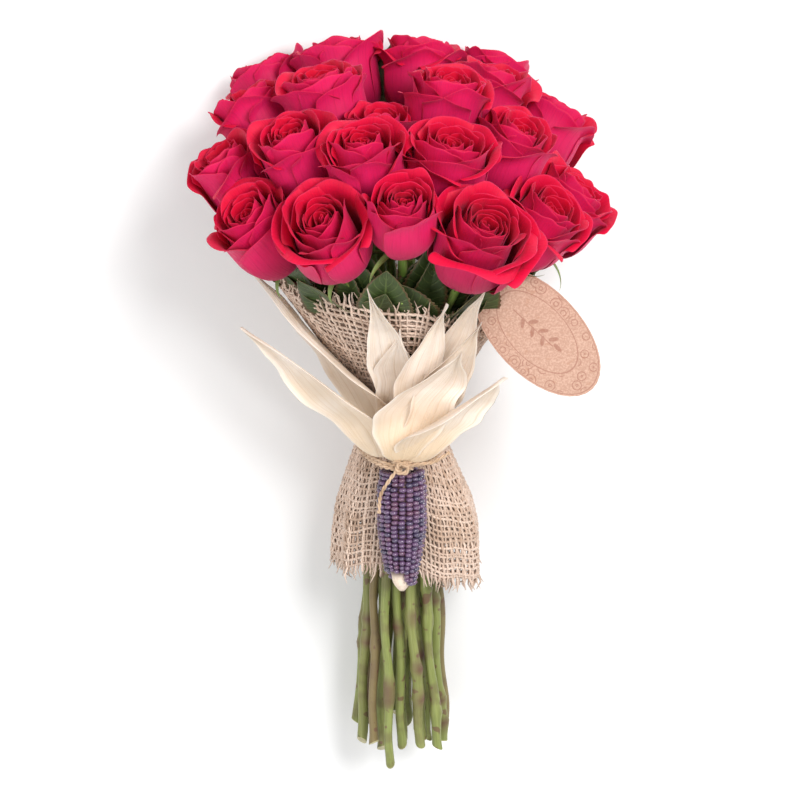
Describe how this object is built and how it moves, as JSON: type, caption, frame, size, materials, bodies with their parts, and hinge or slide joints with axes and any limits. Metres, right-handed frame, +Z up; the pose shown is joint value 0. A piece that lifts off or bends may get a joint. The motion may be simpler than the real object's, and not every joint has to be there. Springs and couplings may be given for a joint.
{
  "type": "bunch of roses",
  "caption": "hand-tied bunch of red roses in a burlap wrap with an ear of dark corn, dried husks and a kraft tag, lying on its back",
  "frame": {"origin": "centre of the bottom of the bounding box, on the surface the bunch lies on", "axes": "+Y runs along the bunch towards the flowers, +Z is up and is the bunch's front, +X is to the right seen from above with the flowers away from the viewer"},
  "size_m": [0.2478, 0.4622, 0.2173],
  "materials": {
    "petal": "velvety crimson petals",
    "stem_green": "smooth fresh stem",
    "leaf_green": "satin dark leaf",
    "burlap": "coarse open-weave jute",
    "husk": "dry papery husk",
    "kernel": "glossy dark kernels",
    "twine": "raffia twine",
    "kraft_card": "matt kraft card",
    "tag_twine": "thin jute string"
  },
  "bodies": {
    "root": {"rose_head_01": "petal", "rose_head_02": "petal", "rose_head_03": "petal", "rose_head_04": "petal", "rose_head_05": "petal", "rose_head_06": "petal", "rose_head_07": "petal", "rose_head_08": "petal", "rose_head_09": "petal", "rose_head_10": "petal", "rose_head_11": "petal", "rose_head_12": "petal", "rose_head_13": "petal", "rose_head_14": "petal", "rose_head_15": "petal", "rose_head_16": "petal", "rose_head_17": "petal", "rose_head_18": "petal", "rose_head_19": "petal", "rose_head_20": "petal", "rose_head_21": "petal", "stem_01": "stem_green", "stem_02": "stem_green", "stem_03": "stem_green", "stem_04": "stem_green", "stem_05": "stem_green", "stem_06": "stem_green", "stem_07": "stem_green", "stem_08": "stem_green", "stem_09": "stem_green", "stem_10": "stem_green", "stem_11": "stem_green", "stem_12": "stem_green", "stem_13": "stem_green", "stem_14": "stem_green", "stem_15": "stem_green", "stem_16": "stem_green", "stem_17": "stem_green", "stem_18": "stem_green", "stem_19": "stem_green", "stem_20": "stem_green", "stem_21": "stem_green", "leaf_01": "leaf_green", "leaf_02": "leaf_green", "leaf_03": "leaf_green", "leaf_04": "leaf_green", "burlap_wrap": "burlap", "husk_01": "husk", "husk_02": "husk", "husk_03": "husk", "husk_04": "husk", "husk_05": "husk", "husk_06": "husk", "husk_07": "husk", "husk_08": "husk", "husk_09": "husk", "corn_cob": "kernel", "twine_tie": "twine", "tag": "kraft_card", "tag_string": "tag_twine"}
  },
  "joints": []
}
